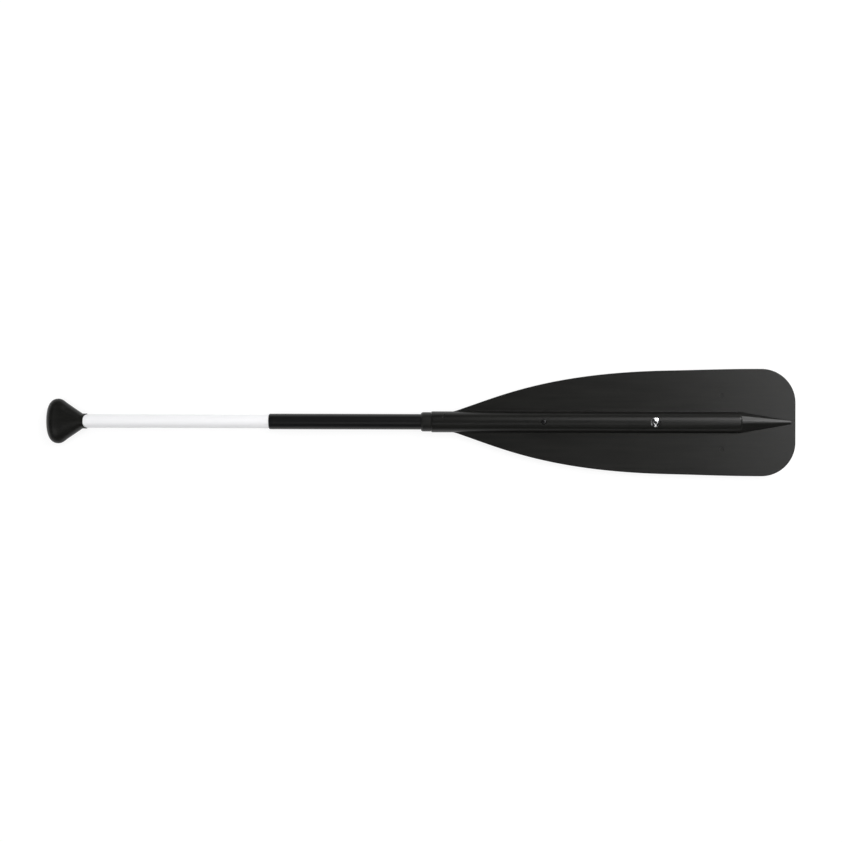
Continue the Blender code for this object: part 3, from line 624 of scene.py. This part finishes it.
def make_fillets(sizes):
    """Four slim concave strips where the rib meets the flat blade, each tapering out at its ends."""
    face = sizes.plate_thickness / 2
    radius = sizes.fillet_radius
    centre = (math.sqrt((RIB_RADIUS + radius) ** 2 - (face + radius) ** 2), face + radius)
    meets_rib = math.degrees(math.atan2(centre[1], centre[0])) + 180
    cove = arc(centre, (radius, radius), 270, meets_rib, 6)
    inside = centre[0] - 2 * radius
    sunk = face - 0.5 * MM
    section = [*cove, (inside, cove[-1][1]), (inside, sunk), (centre[0], sunk)]
    start = BLADE_LOW.x + 42.0 * MM
    end = BLADE_HIGH.x - sizes.rib_end_from_tip - sizes.chamfer_length
    swell = 14 * MM
    fade = 2 * MM
    slim = 0.3
    thin = 0.6
    corner = Vector((start, inside, AXIS_HEIGHT + sunk))
    points = [Vector((start, y, AXIS_HEIGHT + z)) for y, z in section]
    drawn("fillet", points)
    bpy.ops.mesh.edge_face_add()
    bpy.ops.transform.resize(value=(1, slim, slim), center_override=corner)
    for reach, scale in ((swell, 1 / slim), (end - start - swell - fade, 1), (fade, thin)):
        bpy.ops.mesh.extrude_region_move(TRANSFORM_OT_translate={"value": (reach, 0, 0)})
        corner.x += reach
        bpy.ops.transform.resize(value=(1, scale, scale), center_override=corner)
    first = closed_up()
    across = Matrix.Diagonal((1, -1, 1, 1))
    middle = Matrix.Translation((0, 0, AXIS_HEIGHT))
    through = middle @ Matrix.Diagonal((1, 1, -1, 1)) @ middle.inverted()
    return [first, *(mirrored(first, mirror) for mirror in (across, through, through @ across))]


def make_nib():
    """A small slanted witness bar of the mould on the neck's front."""
    nib_x = 31.6 * MM
    rounding = 0.4 * MM
    begin()
    bpy.ops.mesh.primitive_cube_add(size=1, location=(0, 0, 0))
    obj = bpy.context.object
    obj.name = "nib"
    obj.dimensions = (1.3 * MM, 9.0 * MM, 1.4 * MM)
    bpy.ops.object.transform_apply(location=True, rotation=True, scale=True)
    slant = Matrix.Rotation(math.radians(-27), 4, "Z")
    round_shaft = Matrix.Rotation(math.radians(-35), 4, "X")
    obj.data.transform(
        Matrix.Translation((nib_x, 0, AXIS_HEIGHT))
        @ round_shaft
        @ Matrix.Translation((0, 0, RIB_RADIUS - rounding))
        @ slant
    )
    apply_modifier(obj, "BEVEL", width=rounding, segments=3)
    return obj


class PADDLE_OT_blade(bpy.types.Operator):
    """Model the blade with its rib, roof ridge, fillets and holes"""

    bl_idname = "paddle.blade"
    bl_label = "Blade"

    def execute(self, context):
        sizes = context.scene.paddle_blade
        blade = make_plate(sizes)
        combine(blade, [make_rib(sizes), make_roof(sizes), make_nib(), *make_fillets(sizes)], "UNION")
        end_wall = 9.0 * MM
        bore_length = BLADE_HIGH.x - sizes.rib_end_from_tip - end_wall - BLADE_LOW.x
        lead_in = 4.5 * MM
        edge_break = 0.5 * MM
        bore = [
            (edge_break - lead_in, 0),
            (edge_break - lead_in, RIB_BORE + lead_in),
            (edge_break, RIB_BORE),
            (bore_length, RIB_BORE),
            (bore_length, 0),
        ]
        mark_x = BLADE_HIGH.x - 105.7 * MM
        mark_radius = 3.05 * MM
        mark_depth = 0.4 * MM
        outside = 0.2 * MM
        mark = [(-mark_depth, 0), (-mark_depth, mark_radius), (outside, mark_radius + 0.4 * MM), (outside, 0)]
        face = AXIS_HEIGHT + sizes.plate_thickness / 2
        marks = [spun("ejector_mark", mark, (mark_x, y, face), FRONT, 48) for y in (38.8 * MM, -38.8 * MM)]
        rivet_hole_radius = 3.3 * MM
        seat_radius = 7.0 * MM
        cutters = [
            spun("bore", bore, on_shaft(BLADE_LOW.x), ALONG, sizes.rib_sides),
            pin("lock_hole", LOWER_BUTTON_X, FRONT, 0, CLEAR, LOWER_HOLE_RADIUS),
            pin("rivet_hole", RIVET_X, FRONT, -CLEAR, CLEAR, rivet_hole_radius),
            pin("rivet_seat_front", RIVET_X, FRONT, RIVET_SEAT, CLEAR, seat_radius),
            pin("rivet_seat_rear", RIVET_X, REAR, RIVET_SEAT, CLEAR, seat_radius),
            *marks,
        ]
        combine(blade, cutters, "DIFFERENCE")
        smooth(blade)
        dress(blade, black_polypropylene(), "black_moulded_plastic", "blade", "blade")
        return {"FINISHED"}


class PADDLE_OT_bush(bpy.types.Operator):
    """Model the flanged bush in the blade's mouth"""

    bl_idname = "paddle.bush"
    bl_label = "Socket bush"

    def execute(self, context):
        sizes = context.scene.paddle_tubes
        end = BUSH_HIGH.x - BUSH_LOW.x
        flange = BLADE_LOW.x - SEAT_GAP - BUSH_LOW.x
        radius = BUSH_HIGH.y
        spigot = RIB_BORE - SEAT_GAP
        burr = sizes.burr
        front_rounding = 0.4 * MM
        front_radius = radius - 1.6 * MM
        chamfer = 2.3 * MM
        lead_in = 1.0 * MM
        profile = [
            (0, BUSH_BORE + burr),
            *arc((front_rounding, front_radius), (front_rounding, front_rounding), 180, 90, 4),
            (chamfer, radius - 0.1 * MM),
            (chamfer + 0.5 * MM, radius),
            (flange - burr, radius),
            (flange, radius - burr),
            (flange, spigot),
            (end - lead_in, spigot),
            (end, spigot - 0.6 * lead_in),
            (end, BUSH_BORE),
            (burr, BUSH_BORE),
            (0, BUSH_BORE + burr),
        ]
        bush = spun("paddle_socket_bush", profile, on_shaft(BUSH_LOW.x), ALONG, sizes.sides)
        smooth(bush)
        dress(bush, black_nylon(), "black_nylon", "blade", "socket_bush")
        return {"FINISHED"}


def tube_profile(mouth, bore, radius, length, burr):
    """A tube's outline, from the points round its mouth to its cut end."""
    start = (0, bore)
    return [start, *mouth, (length - burr, radius), (length, radius - burr), (length, bore), start]


class PADDLE_OT_outer_shaft(bpy.types.Operator):
    """Model the black tube with its rounded mouth and lock holes"""

    bl_idname = "paddle.outer_shaft"
    bl_label = "Black tube"

    def execute(self, context):
        sizes = context.scene.paddle_tubes
        length = OUTER_HIGH.x - OUTER_LOW.x
        centre = (sizes.mouth_length, OUTER_RADIUS - sizes.mouth_depth)
        mouth = arc(centre, (sizes.mouth_length, sizes.mouth_depth), 180, 90, 10)
        profile = tube_profile(mouth, OUTER_BORE, OUTER_RADIUS, length, sizes.burr)
        shaft = spun("paddle_outer_shaft", profile, on_shaft(OUTER_LOW.x), ALONG, sizes.sides)
        holes = [
            pin("lower_hole", LOWER_BUTTON_X, FRONT, 0, CLEAR, LOWER_HOLE_RADIUS),
            pin("upper_hole", UPPER_BUTTON_X, REAR, 0, CLEAR, UPPER_HOLE_RADIUS),
        ]
        combine(shaft, holes, "DIFFERENCE")
        smooth(shaft)
        dress(shaft, black_anodised_aluminium(), "black_anodised_tube", "outer_shaft", "outer_shaft")
        return {"FINISHED"}


class PADDLE_OT_inner_shaft(bpy.types.Operator):
    """Model the pale tube with its lock hole and screw hole"""

    bl_idname = "paddle.inner_shaft"
    bl_label = "Pale tube"

    def execute(self, context):
        sizes = context.scene.paddle_tubes
        length = INNER_HIGH.x - INNER_LOW.x
        mouth = [(0, INNER_RADIUS - sizes.burr), (sizes.burr, INNER_RADIUS)]
        profile = tube_profile(mouth, INNER_RADIUS - TUBE_WALL, INNER_RADIUS, length, sizes.burr)
        shaft = spun("paddle_inner_shaft", profile, on_shaft(INNER_LOW.x), ALONG, sizes.sides)
        holes = [
            pin("button_hole", UPPER_BUTTON_X, REAR, 0, CLEAR, UPPER_HOLE_RADIUS),
            pin("screw_hole", SCREW_X, REAR, 0, CLEAR, SCREW_HOLE_RADIUS),
        ]
        combine(shaft, holes, "DIFFERENCE")
        smooth(shaft)
        dress(shaft, clear_anodised_aluminium(), "clear_anodised_tube", "inner_shaft", "inner_shaft")
        return {"FINISHED"}


def grip_sections(sizes):
    """The grip's outline as (distance from its end, half width), from the mouth to the end."""
    half = GRIP_HIGH.y
    collar_wall = 0.9 * MM
    mouth_radius = INNER_RADIUS + SEAT_GAP + collar_wall
    mouth = (GRIP_HIGH.x - GRIP_LOW.x - sizes.mouth_dip, mouth_radius)
    collar = (sizes.collar_from_end, mouth_radius)
    taper = (sizes.taper_from_end, sizes.taper_half_width)
    crest = (sizes.widest_from_end, half)
    slope = (Vector(collar) - Vector(taper)).normalized()
    crest_reach = 6.0 * MM
    before_taper = (taper[0] - slope.x * crest_reach, taper[1] - slope.y * crest_reach)
    steps = 8
    straight = [
        (collar[0] + (taper[0] - collar[0]) * i / steps, collar[1] + (taper[1] - collar[1]) * i / steps)
        for i in range(steps)
    ]
    bulge = bezier(taper, before_taper, (crest[0] + crest_reach, half), crest, 14)
    before_end = (crest[0] - sizes.end_squareness, half)
    end = bezier(crest, before_end, (0, sizes.end_rounding), (0, 0), sizes.rings)
    return [mouth, *straight, *bulge, *end[1:]]


class PADDLE_OT_palm_grip(bpy.types.Operator):
    """Model the palm grip, pressed flatter towards its wide end"""

    bl_idname = "paddle.palm_grip"
    bl_label = "Palm grip"

    def execute(self, context):
        sizes = context.scene.paddle_grip
        sections = grip_sections(sizes)
        mouth_radius = sections[0][1]
        mouth_x = GRIP_LOW.x + sections[0][0]
        least_half = 0.4 * MM
        least_thickness = 0.2 * MM
        # Power of the width that takes the round mouth to the widest place, as thick as the rib
        flattening = math.log(RIB_RADIUS / mouth_radius) / math.log(GRIP_HIGH.y / mouth_radius)
        begin()
        bpy.ops.mesh.primitive_circle_add(
            vertices=112,
            radius=mouth_radius,
            fill_type="TRIFAN",
            location=on_shaft(mouth_x),
            rotation=(0, math.pi / 2, 0),
        )
        grip = bpy.context.object
        grip.name = "paddle_palm_grip"
        bpy.ops.object.transform_apply(location=True, rotation=True, scale=True)
        bpy.ops.object.mode_set(mode="EDIT")
        bpy.ops.mesh.select_all(action="SELECT")
        width = height = mouth_radius
        for before, (place, half) in zip(sections, sections[1:]):
            half = max(half, least_half)
            if place < sizes.widest_from_end:
                rise = 1 - place / sizes.widest_from_end
                thickness = max(RIB_RADIUS * math.sqrt(1 - rise * rise), least_thickness)
            else:
                thickness = mouth_radius * (half / mouth_radius) ** flattening
            bpy.ops.mesh.extrude_region_move(TRANSFORM_OT_translate={"value": (place - before[0], 0, 0)})
            scale = (1, half / width, thickness / height)
            bpy.ops.transform.resize(value=scale, center_override=on_shaft(GRIP_LOW.x + place))
            width = half
            height = thickness
        closed_up()
        for vertex in grip.data.vertices:
            if vertex.co.x > mouth_x - SEAT_GAP:
                vertex.co.x += sizes.mouth_dip * (vertex.co.y / mouth_radius) ** 4
        socket_radius = INNER_RADIUS + SEAT_GAP
        past_mouth = sizes.socket_depth + 5 * MM
        socket = [(0, 0), (0, socket_radius), (past_mouth, socket_radius), (past_mouth, 0)]
        screw_seat = INNER_RADIUS + 1.9 * MM
        recess_radius = 3.3 * MM
        cutters = [
            spun("socket", socket, on_shaft(mouth_x - sizes.socket_depth), ALONG, 96),
            pin("grip_screw_hole", SCREW_X, REAR, 0, CLEAR, SCREW_HOLE_RADIUS, 32),
            pin("grip_screw_recess", SCREW_X, REAR, screw_seat, CLEAR, recess_radius, 48),
        ]
        combine(grip, cutters, "DIFFERENCE")
        smooth(grip)
        dress(grip, black_polypropylene(), "black_moulded_plastic", "inner_shaft", "palm_grip")
        return {"FINISHED"}


class PADDLE_OT_rivet(bpy.types.Operator):
    """Model the polished rivet through the rib"""

    bl_idname = "paddle.rivet"
    bl_label = "Stop rivet"

    def execute(self, context):
        sizes = context.scene.paddle_tubes
        seat = RIVET_SEAT + SEAT_GAP
        head = (RIVET_HIGH.x - RIVET_LOW.x) / 2
        tail = AXIS_HEIGHT - RIVET_LOW.z
        top = RIVET_HIGH.z - AXIS_HEIGHT
        floor = top - 5 * MM
        shank = 3 * MM
        # The head slopes down from the rim of the hollow shank, a little more steeply further out.
        rim = 2.3 * MM
        rounding = 0.2 * MM
        curve = 75 * MM
        inner, outer = 21.5, 24.8
        middle = (
            top - curve * math.cos(math.radians(inner)),
            rim + rounding - curve * math.sin(math.radians(inner)),
        )
        slope = arc(middle, (curve, curve), inner, outer, 10)
        edge = slope[-1][0]
        # The tail is rolled over, with a dimple in its middle.
        dimple = 0.7 * MM - tail
        dimple_radius = 1.8 * MM
        edge_break = 0.3 * MM
        profile = [
            (floor, 0),
            (floor, rim),
            *arc((top - rounding, rim + rounding), (rounding, rounding), -90, 0, 4),
            *slope[1:],
            (edge - 0.12 * MM, head - 0.06 * MM),
            (edge - edge_break, head),
            (seat, head),
            (seat, shank),
            (-seat, shank),
            (-seat, head),
            (edge_break - tail, head),
            (-tail, head - 0.4 * MM),
            (-tail, dimple_radius + 0.3 * MM),
            (dimple, dimple_radius),
            (dimple, 0),
        ]
        rivet = spun("paddle_stop_rivet", profile, on_shaft(RIVET_X), FRONT, sizes.pin_sides)
        smooth(rivet, 40)
        dress(rivet, polished_aluminium(), "polished_rivet", "blade", "stop_rivet")
        return {"FINISHED"}


class PADDLE_OT_lock_buttons(bpy.types.Operator):
    """Model the two domed lock buttons, which sink into their tubes when these slide"""

    bl_idname = "paddle.lock_buttons"
    bl_label = "Lock buttons"

    def execute(self, context):
        sizes = context.scene.paddle_tubes
        dome_height = 1.2 * MM
        foot_break = 0.2 * MM
        # The slide that squeezes each one, and the share of its height that is then left
        buttons = (
            ("lower", LOWER_BUTTON_X, FRONT, "outer_shaft_slide", 0.52),
            ("upper", UPPER_BUTTON_X, REAR, "inner_shaft_slide", 0.38),
        )
        for name, x, side, slide, pressed_share in buttons:
            low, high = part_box(f"{name}_lock_button")
            radius = (high.x - low.x) / 2
            base, top = sorted(abs(z - AXIS_HEIGHT) for z in (low.z, high.z))
            dome = arc((top - dome_height, 0), (dome_height, radius), 90, 0, 12)
            profile = [(base, 0), (base, radius - foot_break), (base + foot_break, radius), *dome]
            button = spun(f"paddle_{name}_button", profile, on_shaft(x), side, sizes.pin_sides)
            smooth(button)
            dress(button, blackened_steel(), "dark_steel", f"{name}_button", f"{name}_lock_button")
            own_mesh(button)
        return {"FINISHED"}


class PADDLE_OT_lock_springs(bpy.types.Operator):
    """Finish the two spring strips, which bend in when their buttons are pressed"""

    bl_idname = "paddle.lock_springs"
    bl_label = "Lock springs"

    def execute(self, context):
        for name, body, side in (("lower", "outer_shaft", FRONT), ("upper", "inner_shaft", REAR)):
            spring = own_copy(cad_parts[f"{name}_lock_spring"])
            spring.name = f"paddle_{name}_spring"
            begin(spring)
            bpy.ops.object.mode_set(mode="EDIT")
            closed_up()
            smooth(spring)
            dress(spring, spring_steel(), "spring_steel", body, f"{name}_lock_spring")
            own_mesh(spring)
        return {"FINISHED"}


class PADDLE_OT_grip_screw(bpy.types.Operator):
    """Model the pan-head screw of the grip with its cross recess"""

    bl_idname = "paddle.grip_screw"
    bl_label = "Grip screw"

    def execute(self, context):
        top = AXIS_HEIGHT - SCREW_LOW.z
        tip = AXIS_HEIGHT - SCREW_HIGH.z
        head = (SCREW_HIGH.x - SCREW_LOW.x) / 2
        seat = top - 1.5 * MM
        side_wall = 0.5 * MM
        shank = 1.5 * MM
        root = shank - 0.3 * MM
        pitch = 0.7 * MM
        thread = []
        place = seat - 0.6 * MM
        while place > tip + 2.0 * MM:
            thread += [(place, shank), (place - pitch / 2, root)]
            place -= pitch
        dome = arc((seat + side_wall, 0), (top - seat - side_wall, head), 0, 90, 10)
        profile = [*dome, (seat, head), (seat, shank), *thread, (tip + 1.2 * MM, root), (tip, 0)]
        screw = spun("paddle_grip_screw", profile, on_shaft(SCREW_X), REAR, 48)
        # The cross recess is two flattened four-sided cones, each narrowing into the head.
        flattened = Matrix.Diagonal((1, 0.24, 1, 1))
        centre = (0, 0, top - 0.05 * MM)
        slots = []
        for angle in (45, 135):
            begin()
            bpy.ops.mesh.primitive_cone_add(
                vertices=4, radius1=0.9 * MM, radius2=2.5 * MM, depth=1.9 * MM, location=centre
            )
            slot = bpy.context.object
            bpy.ops.object.transform_apply(location=True, rotation=True, scale=True)
            slot.data.transform(
                Matrix.Translation(on_shaft(SCREW_X))
                @ Matrix.Rotation(math.pi, 4, "X")
                @ Matrix.Rotation(math.radians(angle), 4, "Z")
                @ flattened
            )
            slots.append(slot)
        combine(screw, slots, "DIFFERENCE")
        smooth(screw)
        dress(screw, blackened_steel(), "dark_steel", "inner_shaft", "grip_screw")
        return {"FINISHED"}


class PADDLE_OT_inner_works(bpy.types.Operator):
    """Give the guide bush and the plug their finishes"""

    bl_idname = "paddle.inner_works"
    bl_label = "Inner works"

    def execute(self, context):
        finishes = {"outer_guide_bush": black_nylon(), "inner_shaft_plug": foamed_polyethylene()}
        for name, finish in finishes.items():
            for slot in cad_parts[name].material_slots:
                slot.material = finish
        return {"FINISHED"}


# Stage


def add_lamp(name, place, size, level, target=None):
    """A softbox that faces a point, or straight down. A level of 1 looks as bright as white paper."""
    target = target or (place[0], place[1], 0)
    data = bpy.data.lights.new(name, "AREA")
    data.shape = "RECTANGLE"
    data.size = size[0]
    data.size_y = size[1]
    data.energy = level * math.pi * size[0] * size[1]
    lamp = bpy.data.objects.new(name, data)
    bpy.context.scene.collection.objects.link(lamp)
    lamp.location = place
    lamp.rotation_euler = (Vector(target) - Vector(place)).to_track_quat("-Z", "Y").to_euler()
    lamp.visible_camera = False
    return lamp


def seen_rays(tree):
    """1 for camera, glossy and transmission rays, so that metal shows the same background."""
    rays = add_node(tree, "ShaderNodeLightPath")
    seen = rays.outputs["Is Camera Ray"]
    for kind in ("Is Glossy Ray", "Is Transmission Ray"):
        links = {0: seen, 1: rays.outputs[kind]}
        seen = add_node(tree, "ShaderNodeMath", links=links, operation="MAXIMUM").outputs[0]
    return seen


class PADDLE_OT_stage(bpy.types.Operator):
    """Set up the floor, the dark panel overhead, the softboxes, the world and the camera"""

    bl_idname = "paddle.stage"
    bl_label = "Stage"

    def execute(self, context):
        scene = context.scene
        studio = scene.paddle_studio
        scene.view_settings.view_transform = "Standard"

        begin()
        bpy.ops.mesh.primitive_circle_add(vertices=96, radius=studio.floor_radius, fill_type="NGON")
        floor = bpy.context.object
        floor.name = "floor"
        floor.data.materials.append(self.floor_finish())

        begin()
        overhead = (0, 0, studio.flag_height)
        bpy.ops.mesh.primitive_circle_add(
            vertices=64, radius=studio.flag_radius, fill_type="NGON", location=overhead
        )
        flag = bpy.context.object
        flag.name = "overhead_flag"
        flag.visible_camera = False
        dark_cloth, _tree, _shader = new_finish("black_studio_cloth", "#202020", 1.0)
        flag.data.materials.append(dark_cloth)

        fill = add_lamp("fill", (0, 0, 2.2), (4.0, 4.0), 1.2)
        fill.visible_glossy = False
        panel = add_lamp("tip_panel", (1.32, 1.0, 1.9), (0.56, 2.6), 5.4)
        panel.rotation_euler.z = math.radians(7)
        add_lamp("side_panel", (0.64, 1.15, 1.9), (0.66, 0.7), 1.9)
        add_lamp("rivet_panel", (0.55, 2.0, 1.9), (1.0, 0.6), 1.0)
        add_lamp("long_strip", (0.75, -0.68, 1.9), (2.5, 0.4), 1.4)
        add_lamp("rivet_glint", (0.86, -1.74, 1.7), (0.9, 0.28), 1.1, target=(0.33, 0, 0.03))
        add_lamp("grip_strip", (-1.8, -1.15, 1.9), (1.6, 1.1), 1.1)
        add_lamp("grip_panel", (-1.85, 1.0, 1.9), (1.5, 2.6), 0.3)
        add_lamp("key", (1.96, 1.64, 1.4), (0.9, 0.7), 12.5, target=(0.49, 0, 0.02))

        world = bpy.data.worlds.new("white_surround")
        scene.world = world
        world.use_nodes = True
        background = world.node_tree.nodes["Background"]
        background.inputs["Color"].default_value = (1, 1, 1, 1)
        background.inputs["Strength"].default_value = 1.0

        data = bpy.data.cameras.new("camera")
        data.lens = studio.lens
        camera = bpy.data.objects.new("camera", data)
        scene.collection.objects.link(camera)
        camera.location = (studio.aim[0], studio.aim[1], AXIS_HEIGHT + studio.distance)
        camera.rotation_euler = (0, 0, studio.roll)
        scene.camera = camera
        return {"FINISHED"}

    @staticmethod
    def floor_finish():
        # White paper floor: lit as it is, and lifted towards white where a ray looks at it, so that it
        # meets the background and keeps a light shadow.
        lifted = 0.72
        brightness = 1.12
        material, tree, shader = new_finish("white_paper_floor", "#ececec", 0.9, specular=0.0)
        white = add_node(tree, "ShaderNodeEmission", {"Color": (1, 1, 1, 1), "Strength": brightness})
        share = add_node(tree, "ShaderNodeMath", {1: lifted}, {0: seen_rays(tree)}, operation="MULTIPLY")
        links = {0: share.outputs[0], 1: shader.outputs[0], 2: white.outputs[0]}
        mix = add_node(tree, "ShaderNodeMixShader", links=links)
        tree.links.new(mix.outputs[0], tree.nodes["Material Output"].inputs["Surface"])
        return material


# Add-on


class PADDLE_PT_panel(bpy.types.Panel):
    """Lists the paddle's sizes and pieces"""

    bl_idname = "PADDLE_PT_panel"
    bl_label = "Boat Paddle"
    bl_space_type = "VIEW_3D"
    bl_region_type = "UI"
    bl_category = "Paddle"

    def draw(self, context):
        layout = self.layout
        for operator in OPERATORS:
            layout.operator(operator.bl_idname)
        for name in SETTINGS:
            box = layout.box()
            group = getattr(context.scene, name)
            for key in group.bl_rna.properties.keys():
                if key not in ("rna_type", "name"):
                    box.prop(group, key)


SETTINGS = {
    "paddle_blade": PaddleBladeSizes,
    "paddle_tubes": PaddleTubeSizes,
    "paddle_grip": PaddleGripSizes,
    "paddle_finish": PaddleFinish,
    "paddle_studio": PaddleStudio,
}
OPERATORS = (
    PADDLE_OT_blade,
    PADDLE_OT_bush,
    PADDLE_OT_outer_shaft,
    PADDLE_OT_inner_shaft,
    PADDLE_OT_palm_grip,
    PADDLE_OT_rivet,
    PADDLE_OT_lock_buttons,
    PADDLE_OT_lock_springs,
    PADDLE_OT_grip_screw,
    PADDLE_OT_inner_works,
    PADDLE_OT_stage,
)


def register():
    for kind in (*SETTINGS.values(), *OPERATORS, PADDLE_PT_panel):
        bpy.utils.register_class(kind)
    for name, kind in SETTINGS.items():
        setattr(bpy.types.Scene, name, PointerProperty(type=kind))


def unregister():
    for name in SETTINGS:
        delattr(bpy.types.Scene, name)
    for kind in reversed((*SETTINGS.values(), *OPERATORS, PADDLE_PT_panel)):
        bpy.utils.unregister_class(kind)


def main():
    register()
    bpy.ops.paddle.blade()
    bpy.ops.paddle.bush()
    bpy.ops.paddle.outer_shaft()
    bpy.ops.paddle.inner_shaft()
    bpy.ops.paddle.palm_grip()
    bpy.ops.paddle.rivet()
    bpy.ops.paddle.lock_buttons()
    bpy.ops.paddle.lock_springs()
    bpy.ops.paddle.grip_screw()
    bpy.ops.paddle.inner_works()
    bpy.ops.paddle.stage()


if __name__ == "__main__":
    main()
